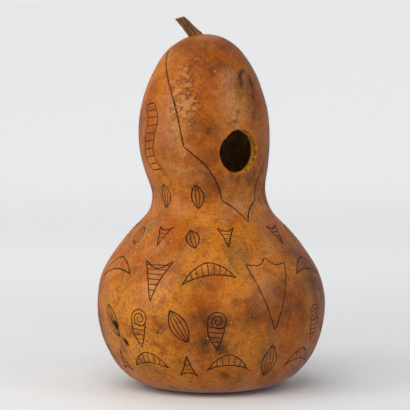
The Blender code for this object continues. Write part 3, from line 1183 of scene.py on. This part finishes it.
    def marks(self, chart: np.ndarray, places: np.ndarray) -> dict[str, np.ndarray]:
        """Return the strength of each kind of mark at each corner, and how far the right side turns plum,
        partly as painted shade.
        """
        found = {mark.value: np.zeros(len(chart)) for mark in Mark}
        for blemish in BLEMISHES_AND_SHEENS:
            weight = blemish.weight(self.form, chart)
            found[blemish.mark.value] = np.maximum(found[blemish.mark.value], weight)
        scabby = found["crust"]
        flakes = smoothstep(rough(places, 3.6, 7.0, 2) + 0.75 * (scabby - 0.8), -0.05, 0.07)
        curled = smoothstep(-np.abs(rough(places, 6.0, 16.0, 2)), -0.15, -0.04)
        found["crust"] = np.maximum(0.9 * flakes, 0.55 * curled) * smoothstep(scabby, 0.2, 0.5)
        blotchy = smoothstep(rough(places, 7.0, 9.0, 4), -0.7, 0.1)
        # the stain also darkens along the edges of the crusts
        edge = 0.5 * (4.0 * found["crust"] * (1.0 - found["crust"])) ** 3
        found["stain"] = np.maximum(found["stain"] * (0.25 + 0.75 * blotchy), edge)
        for mark, size, seed in ((Mark.GLOW, 9.0, 10.0), (Mark.GOLD, 7.0, 14.0), (Mark.PAINTED_SHEEN, 8.0, 15.0)):
            found[mark.value] = found[mark.value] * smoothstep(rough(places, size, seed, 4), -0.7, 0.15)
        found["pit"] = smoothstep(found["pit"], 0.3, 0.8)
        # the right side turns plum: partly its own tint, partly painted shade on the side away from the key
        # light
        side = 0.5 + 0.5 * np.cos(chart[:, 0] - math.radians(62.0))
        found["plum_tint_and_shade"] = 0.5 * smoothstep(side + 0.16 * rough(places, 30.0, 2.0, 3), 0.66, 1.02)
        return found

    def skin(self) -> dict[str, object]:
        """Return the outer sheet, its corners' places and its attributes."""
        strokes = [stroke for entry in arrangement() for stroke in entry.strokes(self.form)]
        sheet = self.fill(self.spacing, strokes, self.rim_chart(0.0), 0.0)
        places, out = self.form.place(sheet.chart), self.form.facing(sheet.chart)
        depth, dark = self.engrave(places, strokes)
        marks = self.marks(sheet.chart, places)
        lift = self.lumps * rough(places, 34.0, 1.0, 2) + 0.1 * rough(places, 6.0, 5.0, 2)
        lift += SWELLING_HEIGHT * SWELLING.weight(self.form, sheet.chart)
        lift += marks["crust"] * (1.2 + 0.5 * rough(places, 2.4, 6.0, 2)) - 1.3 * marks["pit"]
        lift *= smoothstep(places[:, 2], 0.2, 6.0)
        skin = places + out * (lift - depth)[:, None]
        skin[:, 2] = np.maximum(skin[:, 2], 0.0)
        return {"sheet": sheet, "places": skin, "marks": {**marks, "groove": dark}}

    def hollow(self) -> dict[str, object]:
        """Return the inner sheet and its corners' places, a wall's thickness inside the outer one."""
        sheet = self.fill(self.inner_spacing, (), self.rim_chart(self.form.wall), self.form.wall)
        places = self.form.place(sheet.chart) - self.form.facing(sheet.chart) * self.form.wall
        return {"sheet": sheet, "places": places + 0.4 * rough(places, 7.0, 8.0, 3)[:, None]}

    def wall_rings(self, outer: np.ndarray, inner: np.ndarray) -> tuple[list[np.ndarray], list[float]]:
        """Return rings of corners down the sawn wall of the hole, and how deep each is, from 0 to 1."""
        angle = np.arange(self.rim_steps) / self.rim_steps * math.tau
        away = np.column_stack([np.cos(angle), np.zeros(self.rim_steps), np.sin(angle)])
        depths = [0.05, 0.13, 0.24, 0.36, 0.48, 0.6, 0.72, 0.84, 0.94]
        rings = []
        for share in depths:
            base = outer + (inner - outer) * share
            ragged = 0.5 * rough(base, 1.9, 12.0, 3) + 0.3 * rough(base, 0.8, 13.0, 2)
            lip = -0.28 if share < 0.1 else 0.0
            rings.append(base + away * (ragged * math.sin(math.pi * share) ** 0.5 + lip)[:, None])
        return rings, depths

    def build(self) -> bpy.types.Object:
        """Make the rind as one mesh.

        Returns:
            The finished object, with its attributes and its three finishes.
        """
        skin, hollow = self.skin(), self.hollow()
        outside, inside = skin["sheet"], hollow["sheet"]
        outer_rim = skin["places"][outside.rim]
        rings, depths = self.wall_rings(outer_rim, hollow["places"][inside.rim])
        places = [skin["places"], *rings, hollow["places"]]
        starts = np.cumsum([0] + [len(p) for p in places]).tolist()
        poles = self.poles()
        faces = [tuple(t) for t in outside.triangles.tolist()]
        kinds = [0] * len(faces)
        loops = [outside.rim]
        loops += [list(range(starts[1 + i], starts[1 + i] + self.rim_steps)) for i in range(len(rings))]
        loops.append([starts[-2] + i for i in inside.rim])
        for near, far in zip(loops, loops[1:]):
            for i in range(self.rim_steps):
                j = (i + 1) % self.rim_steps
                faces.append((near[i], near[j], far[j], far[i]))
        kinds += [1] * (len(faces) - len(kinds))
        inner_start = starts[-2]
        faces += [(a, c, b) for a, b, c in (inside.triangles + inner_start).tolist()]
        count = starts[-1]
        kinds += [2] * (len(faces) - len(kinds))
        for ring, pole, offset, kind in (
            (outside.bottom, count, 0, 0), (outside.top[::-1], count + 1, 0, 0),
            (inside.bottom[::-1], count + 2, inner_start, 2), (inside.top, count + 3, inner_start, 2),
        ):
            closed = [i + offset for i in ring]
            faces += [(pole, b, a) for a, b in zip(closed, closed[1:] + closed[:1])]
            kinds += [kind] * len(ring)
        every = np.vstack([*places, poles])
        return self.assemble(every, faces, kinds, skin, depths, starts)

    def poles(self) -> np.ndarray:
        """Return the outer and inner ends of the axis: foot, crown, foot and crown."""
        lean = self.form.lean_at(np.array(self.form.top))
        wall = self.form.wall
        ends = [(0.0, 0.0, self.form.bottom), (lean[0], lean[1], self.form.top)]
        ends += [(0.0, 0.0, self.form.bottom + wall), (lean[0], lean[1], self.form.top - wall)]
        return np.array(ends)

    def assemble(self, places: np.ndarray, faces: list, kinds: list[int], skin: dict, depths: list[float],
                 starts: list[int]) -> bpy.types.Object:
        """Put the mesh together, without the corners that no face uses, and dress it."""
        used = np.unique(np.concatenate([np.array(face) for face in faces]))
        fresh = np.full(len(places), -1)
        fresh[used] = np.arange(len(used))
        mesh = bpy.data.meshes.new("gourd_rind")
        renumbered = [tuple(fresh[list(face)].tolist()) for face in faces]
        mesh.from_pydata((places[used] * MM).tolist(), [], renumbered)
        mesh.polygons.foreach_set("material_index", kinds)
        values = {name: np.zeros(len(places)) for name in (*skin["marks"], "depth")}
        for name, value in skin["marks"].items():
            values[name][: len(value)] = value
        for i, share in enumerate(depths):
            values["depth"][starts[1 + i] : starts[2 + i]] = smoothstep(np.array(share), 0.45, 0.8)
        for name, value in values.items():
            layer = mesh.attributes.new(name, "FLOAT", "POINT")
            layer.data.foreach_set("value", value[used].astype(np.float32))
        mesh.shade_smooth()
        self.sharpen(mesh, skin["sheet"], fresh, len(used))
        for finish in (WaxedRind(), SawnPith(), DryPith()):
            mesh.materials.append(finish.make())
        mesh.validate()
        return link(mesh, "gourd_rind")

    def sharpen(self, mesh: bpy.types.Mesh, sheet: Sheet, fresh: np.ndarray, count: int) -> None:
        """Keep a crease along the borders of the engraved lines and the rim of the hole."""
        rim = zip(sheet.rim, sheet.rim[1:] + sheet.rim[:1])
        creased = [(a, b) for a, b in (*sheet.borders, *rim) if fresh[a] >= 0 and fresh[b] >= 0]
        pairs = np.sort(fresh[np.array(creased)], axis=1)
        wanted = pairs[:, 0] * count + pairs[:, 1]
        ends = np.zeros(len(mesh.edges) * 2, int)
        mesh.edges.foreach_get("vertices", ends)
        ends = np.sort(ends.reshape(-1, 2), axis=1)
        sharp = np.isin(ends[:, 0] * count + ends[:, 1], wanted)
        marks = mesh.attributes.get("sharp_edge") or mesh.attributes.new("sharp_edge", "BOOLEAN", "EDGE")
        marks.data.foreach_set("value", sharp)


# ---------------------------------------------------------------- small things on the rind


@dataclass
class VarnishBeads:
    """Drops of varnish scattered over the outside of the rind.

    Attributes:
        per_square_metre: How many there are.
        smallest: Radius of the smallest, in millimetres.
        largest: Radius of the largest.
        seed: Seed of their places and sizes.
    """

    per_square_metre: float = 1400.0
    smallest: float = 0.22
    largest: float = 0.56
    seed: int = 11

    def build(self, rind: bpy.types.Object) -> bpy.types.Object:
        """Scatter flat beads over the rind's outside, each turned to stand on it."""
        host = link(part_of(rind.data, 0, "bead_host"), "bead_host")
        recipe = NodeRecipe("varnish_beads", {
            "Density": self.per_square_metre, "Seed": self.seed, "Smallest": self.smallest * MM,
            "Largest": self.largest * MM, "Material": VarnishBead().make(),
        })
        tree, source, target = recipe.start()
        ball = add_node(tree, "GeometryNodeMeshIcoSphere", {"Radius": 1.0, "Subdivisions": 2})
        flat = add_node(tree, "GeometryNodeTransform", {"Scale": (1.0, 1.0, 0.6)},
                        {"Geometry": ball.outputs["Mesh"]})
        tree.links.new(scatter(tree, source, flat.outputs[0]), target.inputs[0])
        return recipe.run(host, tree, "varnish_beads")


@dataclass
class HoleFibres:
    """Short torn fibres that stand out of the sawn wall of the hole.

    Attributes:
        per_square_metre: How many there are.
        smallest: Length of the shortest, in millimetres.
        largest: Length of the longest.
        seed: Seed of their places, lengths and directions.
    """

    per_square_metre: float = 500000.0
    smallest: float = 0.5
    largest: float = 1.5
    seed: int = 5

    def build(self, rind: bpy.types.Object) -> bpy.types.Object:
        """Scatter thin cones over the hole's wall, each leaning its own way."""
        host = link(part_of(rind.data, 1, "fibre_host"), "fibre_host")
        recipe = NodeRecipe("hole_fibres", {
            "Density": self.per_square_metre, "Seed": self.seed, "Smallest": self.smallest * MM,
            "Largest": self.largest * MM, "Material": rind.data.materials[1],
        })
        tree, source, target = recipe.start()
        cone = add_node(tree, "GeometryNodeMeshCone", {"Vertices": 4, "Side Segments": 2, "Radius Top": 0.02,
                                                       "Radius Bottom": 0.11, "Depth": 1.0})
        lean = add_node(tree, "FunctionNodeRandomValue", {0: (-1.2, -1.2, -3.0), 1: (1.2, 1.2, 3.0)},
                        {"Seed": source.outputs["Seed"]}, data_type="FLOAT_VECTOR")
        turn = add_node(tree, "FunctionNodeEulerToRotation", {}, {0: lean.outputs[0]})
        tree.links.new(scatter(tree, source, cone.outputs["Mesh"], turn.outputs[0]), target.inputs[0])
        return recipe.run(host, tree, "hole_fibres")


def part_of(mesh: bpy.types.Mesh, kind: int, name: str) -> bpy.types.Mesh:
    """Return a new mesh with only the faces of one finish."""
    faces = [tuple(p.vertices) for p in mesh.polygons if p.material_index == kind]
    used = sorted({i for face in faces for i in face})
    fresh = {old: new for new, old in enumerate(used)}
    made = bpy.data.meshes.new(name)
    renumbered = [tuple(fresh[i] for i in face) for face in faces]
    made.from_pydata([mesh.vertices[i].co for i in used], [], renumbered)
    return made


# ---------------------------------------------------------------- the stalk


@dataclass
class Stalk:
    """The dry stub of the stalk: ridged, flared where it grew from the crown and cut slantwise at its tip.

    Attributes:
        form: The rule of the rind that it stands on.
        line: Points (right, back, up) from the crown's middle, each with the stalk's radius there.
        cut: The middle of the cut end, from the crown's middle.
        cut_tilt: Slant of the cut, in degrees.
        ridges: Ridges round it.
        ridge_depth: Depth of the furrows, as a share of the radius.
        twist: How far the ridges wind from foot to tip, in degrees.
    """

    form: GourdForm
    line: tuple = (
        ((-3.3, 1.3, -7.0), 5.6), ((-4.4, 1.8, -4.0), 5.4), ((-5.6, 2.3, -1.4), 4.8),
        ((-7.0, 2.8, 0.6), 4.15),
        ((-9.4, 3.8, 3.6), 3.65), ((-12.0, 4.8, 7.0), 3.4), ((-14.4, 5.8, 9.8), 3.15),
        ((-16.3, 6.5, 11.9), 3.05),
        ((-18.1, 7.2, 13.9), 3.0),
    )
    cut: tuple[float, float, float] = (-16.3, 6.5, 11.9)
    cut_tilt: float = 17.0
    ridges: int = 7
    ridge_depth: float = 0.09
    twist: float = 34.0
    steps: int = 44  # rings along it
    corners: int = 84  # corners of each ring

    def crown(self) -> np.ndarray:
        """Return the crown's middle, in millimetres."""
        lean = self.form.lean_at(np.array(self.form.top))
        return np.array([lean[0], lean[1], self.form.top])

    def spine(self) -> bpy.types.Object:
        """Return the stalk's middle line as a curve that carries its radius and twist."""
        rows = [(*place, radius) for place, radius in self.line]
        dense = smooth_path(rows, 0.05)
        shares = np.linspace(0.0, 1.0, self.steps)
        picked = np.array([along(dense, share) for share in shares])
        data = bpy.data.curves.new("stalk_spine", "CURVE")
        data.dimensions = "3D"
        spline = data.splines.new("POLY")
        spline.points.add(len(picked) - 1)
        crown = self.crown()
        for point, row, share in zip(spline.points, picked, shares):
            point.co = (*((crown + row[:3]) * MM), 1.0)
            point.radius = float(row[3]) * MM
            point.tilt = math.radians(self.twist) * share
        made = bpy.data.objects.new("stalk_spine", data)
        bpy.context.scene.collection.objects.link(made)
        return made

    def build(self) -> bpy.types.Object:
        """Sweep the ridged section along the spine, then cut the tip and weather the surface."""
        recipe = NodeRecipe("stalk_sweep", {
            "Ridges": self.ridges, "Ridge Depth": self.ridge_depth, "Corners": self.corners,
            "Material": DryStalk().make(),
        })
        tree, source, target = recipe.start()
        ring = add_node(tree, "GeometryNodeCurvePrimitiveCircle", {"Radius": 1.0},
                        {"Resolution": source.outputs["Corners"]})
        place = add_node(tree, "GeometryNodeInputPosition")
        split = add_node(tree, "ShaderNodeSeparateXYZ", {}, {0: place.outputs[0]})
        angle = add_node(tree, "ShaderNodeMath", {}, {0: split.outputs[1], 1: split.outputs[0]},
                         operation="ARCTAN2")
        waves = add_node(tree, "ShaderNodeMath", {}, {0: angle.outputs[0], 1: source.outputs["Ridges"]},
                         operation="MULTIPLY")
        wave = add_node(tree, "ShaderNodeMath", {}, {0: waves.outputs[0]}, operation="COSINE")
        depth = add_node(tree, "ShaderNodeMath", {}, {0: wave.outputs[0], 1: source.outputs["Ridge Depth"]},
                         operation="MULTIPLY")
        push = add_node(tree, "ShaderNodeVectorMath", {}, {0: place.outputs[0], "Scale": depth.outputs[0]},
                        operation="SCALE")
        ridged = add_node(tree, "GeometryNodeSetPosition", {},
                          {"Geometry": ring.outputs[0], "Offset": push.outputs[0]})
        share = add_node(tree, "GeometryNodeSplineParameter")
        named = add_node(tree, "GeometryNodeStoreNamedAttribute", {"Name": "along"},
                         {"Geometry": source.outputs["Geometry"], "Value": share.outputs["Factor"]},
                         data_type="FLOAT", domain="POINT")
        furrow = add_node(tree, "GeometryNodeStoreNamedAttribute", {"Name": "wave"},
                          {"Geometry": ridged.outputs[0], "Value": wave.outputs[0]},
                          data_type="FLOAT", domain="POINT")
        swept = add_node(tree, "GeometryNodeCurveToMesh", {"Fill Caps": False},
                         {"Curve": named.outputs[0], "Profile Curve": furrow.outputs[0]})
        if "Scale" in swept.inputs:
            size = add_node(tree, "GeometryNodeInputRadius")
            tree.links.new(size.outputs[0], swept.inputs["Scale"])
        whole = add_node(tree, "GeometryNodeRealizeInstances", {}, {0: swept.outputs[0]})
        dressed = add_node(tree, "GeometryNodeSetMaterial", {}, {"Geometry": whole.outputs[0],
                           "Material": source.outputs["Material"]})
        tree.links.new(dressed.outputs[0], target.inputs[0])
        stalk = recipe.run(self.spine(), tree, "gourd_stalk")
        self.weather(stalk.data)
        return stalk

    def weather(self, mesh: bpy.types.Mesh) -> None:
        """Slide the tip's rings onto the slanting cut, roughen the surface and close both ends."""
        count = len(mesh.vertices)
        flat = np.zeros(count * 3)
        mesh.vertices.foreach_get("co", flat)
        places = flat.reshape(-1, 3) / MM
        share, wave = np.zeros(count), np.zeros(count)
        mesh.attributes["along"].data.foreach_get("value", share)
        mesh.attributes["wave"].data.foreach_get("value", wave)
        crown = self.crown()
        tip = crown + np.array(self.cut)
        tilt = math.radians(self.cut_tilt)
        level = np.array([-math.sin(tilt), 0.0, math.cos(tilt)])
        ends = [np.array(place) for place, _ in (self.line[-2], self.line[-1])]
        axis = (ends[1] - ends[0]) / np.linalg.norm(ends[1] - ends[0])
        slide = -((places - tip) @ level) / float(axis @ level)
        last = share > 1.0 - 1e-4
        near = smoothstep(share, 0.62, 1.0)
        ragged = 0.28 * rough(places, 1.6, 21.0, 3)
        moved_by = near * np.tile(slide[last], self.steps)
        places = places + axis * (moved_by + near * ragged * smoothstep(share, 0.9, 1.0))[:, None]
        middle = self.middles(share)
        out = places - middle
        out /= np.maximum(np.linalg.norm(out, axis=1, keepdims=True), 1e-6)
        places += out * (0.14 * rough(places * [1.0, 1.0, 0.4], 1.5, 22.0, 3))[:, None]
        mesh.vertices.foreach_set("co", (places * MM).ravel())
        # painted shade: the furrows between the ridges are darkened
        furrow = mesh.attributes.new("furrow", "FLOAT", "POINT")
        furrow.data.foreach_set("value", (0.75 * smoothstep(-wave, -0.1, 1.0)).astype(np.float32))
        cut = mesh.attributes.new("cut", "FLOAT", "POINT")
        cut.data.foreach_set("value", (0.5 * smoothstep(share, 0.985, 1.0)).astype(np.float32))
        self.close(mesh, share)

    def middles(self, share: np.ndarray) -> np.ndarray:
        """Return the spine's place at each corner's share of its length, in millimetres."""
        rows = np.array([place for place, _ in self.line])
        dense = smooth_path([tuple(row) for row in rows], 0.05)
        at = np.linspace(0.0, 1.0, len(dense))
        return self.crown() + np.column_stack([np.interp(share, at, dense[:, i]) for i in range(3)])

    def close(self, mesh: bpy.types.Mesh, share: np.ndarray) -> None:
        """Close the foot plainly, and the tip with a dished end of pith."""
        shape = bmesh.new()
        shape.from_mesh(mesh)
        cut = shape.verts.layers.float["cut"]
        loops = [[e for e in shape.edges if e.is_boundary and min(share[v.index] for v in e.verts) > 0.5],
                 [e for e in shape.edges if e.is_boundary and max(share[v.index] for v in e.verts) < 0.5]]
        face = bmesh.ops.contextual_create(shape, geom=loops[0])["faces"][0]
        for inset, sink in ((0.55, 0.05), (0.8, 0.3), (0.8, 0.25)):
            bmesh.ops.inset_region(
                shape, faces=[face], thickness=inset * MM, depth=-sink * MM, use_even_offset=False)
            for vertex in face.verts:
                vertex[cut] = 1.0
        bmesh.ops.contextual_create(shape, geom=loops[1])
        bmesh.ops.triangulate(shape, faces=[f for f in shape.faces if len(f.verts) > 4])
        bmesh.ops.recalc_face_normals(shape, faces=shape.faces)
        shape.to_mesh(mesh)
        shape.free()
        mesh.shade_smooth()
        mesh.set_sharp_from_angle(angle=math.radians(48.0))


# ---------------------------------------------------------------- studio


@dataclass
class Studio:
    """Plain pale paper in the round, soft light, and the camera.

    Attributes:
        floor_radius: Radius of the flat floor, in metres.
        wall_radius: Radius of the paper wall that it curves up into.
        wall_height: Height of that wall.
        azimuth: Where the camera stands, in degrees round the gourd.
        elevation: How far above level it stands.
        distance: Its distance from the point that it looks at, in metres.
        target: That point.
        focal_share: Focal length, in picture widths.
        shift: Shift of the picture, as a share of its width.
    """

    floor_radius: float = 2.2
    wall_radius: float = 3.6
    wall_height: float = 3.2
    azimuth: float = -33.0
    elevation: float = 4.0
    distance: float = 1.3
    target: tuple[float, float, float] = (0.0, 0.0, 0.130)
    focal_share: float = 1.3 / 0.727e-3 / PICTURE_WIDTH
    shift: tuple[float, float] = (-0.0161, 0.0046)

    def build_paper(self) -> bpy.types.Object:
        """Make the floor and wall as one turned sheet."""
        bend = self.wall_radius - self.floor_radius
        profile = [(0.0, 0.0), (0.5, 0.0), (1.2, 0.0), (self.floor_radius, 0.0)]
        for i in range(1, 13):
            turn = i / 12 * math.pi / 2
            profile.append((self.floor_radius + bend * math.sin(turn), bend * (1 - math.cos(turn))))
        profile.append((self.wall_radius, self.wall_height))
        around = 96
        corners = [(r * math.cos(a), r * math.sin(a), z) for r, z in profile[1:]
                   for a in (i / around * math.tau for i in range(around))]
        faces = [tuple(range(around))]
        for ring in range(len(profile) - 2):
            for i in range(around):
                j = (i + 1) % around
                near, far = ring * around, (ring + 1) * around
                faces.append((near + i, far + i, far + j, near + j))
        mesh = bpy.data.meshes.new("studio_paper")
        mesh.from_pydata(corners, [], faces)
        mesh.materials.append(Paper().make())
        mesh.shade_smooth()
        paper = link(mesh, "studio_paper")
        paper.visible_glossy = False  # or it lays a pale haze on the rind's edges
        return paper

    def add_light(self, name: str, azimuth: float, elevation: float, distance: float,
                  size: tuple[float, float], power: float, colour: str, sheen: bool = True) -> None:
        """Hang one soft light that faces the gourd's middle.

        Args:
            name: Its name.
            azimuth: Where it hangs, in degrees round from the camera.
            elevation: How far above level it hangs, in degrees.
            distance: Its distance, in metres.
            size: Its width and height, in metres.
            power: Its power, in watts.
            colour: Its colour.
            sheen: Whether it shows in the wax. Hiding it keeps a pale haze off the rind.
        """
        data = bpy.data.lights.new(name, "AREA")
        data.shape = "RECTANGLE"
        data.size, data.size_y = size
        data.energy = power
        data.color = linear(colour)[:3]
        lamp = bpy.data.objects.new(name, data)
        bpy.context.scene.collection.objects.link(lamp)
        back = self.away(self.azimuth + azimuth, elevation)
        lamp.location = Vector((0.0, 0.0, 0.13)) + back * distance
        lamp.rotation_euler = back.to_track_quat("Z", "Y").to_euler()
        lamp.visible_glossy = sheen

    def away(self, azimuth: float, elevation: float) -> Vector:
        """Return the direction from the gourd to something at this azimuth and elevation."""
        a, e = math.radians(azimuth), math.radians(elevation)
        return Vector((math.sin(a) * math.cos(e), -math.cos(a) * math.cos(e), math.sin(e)))

    def build_lights(self) -> None:
        """Hang the soft boxes and set the even light of the room."""
        self.add_light("key_softbox", -62.0, 22.0, 1.6, (0.9, 1.5), 13.5, "#FFFCF6")
        self.add_light("front_softbox", -10.0, 46.0, 1.7, (1.2, 1.0), 12.0, "#FFFDF8", sheen=False)
        self.add_light("fill_softbox", 58.0, 26.0, 1.9, (0.7, 1.4), 6.0, "#F8F9FF")
        self.add_light("back_softbox", -150.0, 66.0, 1.9, (1.5, 1.5), 6.0, "#FFFFFF", sheen=False)
        world = bpy.data.worlds.new("room_light")
        world.use_nodes = True
        world.node_tree.nodes["Background"].inputs["Color"].default_value = linear("#F8F8FA")
        world.node_tree.nodes["Background"].inputs["Strength"].default_value = 0.38
        bpy.context.scene.world = world
        bpy.context.scene.view_settings.view_transform = "Standard"

    def build_camera(self) -> bpy.types.Object:
        """Set up the camera at its viewing angle."""
        data = bpy.data.cameras.new("camera")
        data.sensor_width = 36.0
        data.lens = data.sensor_width * self.focal_share
        data.shift_x, data.shift_y = self.shift
        data.clip_start, data.clip_end = 0.05, 50.0
        camera = bpy.data.objects.new("camera", data)
        bpy.context.scene.collection.objects.link(camera)
        back = self.away(self.azimuth, self.elevation)
        camera.location = Vector(self.target) + back * self.distance
        camera.rotation_euler = back.to_track_quat("Z", "Y").to_euler()
        bpy.context.scene.camera = camera
        return camera


# ---------------------------------------------------------------- putting it together


def hand_over(piece: bpy.types.Object, slot: str, nodes: Iterable[str] = ()) -> None:
    """Hang a piece on the root body, hide the nodes it stands for, and log its triangles and slot."""
    if nodes:
        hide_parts(*nodes)
    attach(piece, "root")
    triangles = sum(len(p.vertices) - 2 for p in piece.data.polygons)
    LOG.info("%s: %d triangles, slot %s", piece.name, triangles, slot)


def main() -> None:
    """Build the gourd's pieces and the studio, and report each piece."""
    logging.basicConfig(level=logging.INFO, format="%(message)s")
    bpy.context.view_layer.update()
    form = GourdForm()
    rind = Rind(form).build()
    beads = VarnishBeads().build(rind)
    fibres = HoleFibres().build(rind)
    stalk = Stalk(form).build()
    hand_over(rind, "rind", ["gourd_shell"])
    hand_over(beads, "rind")
    hand_over(fibres, "rind")
    hand_over(stalk, "stalk", ["stem"])
    studio = Studio()
    studio.build_paper()
    studio.build_lights()
    studio.build_camera()


if __name__ == "__main__":
    main()
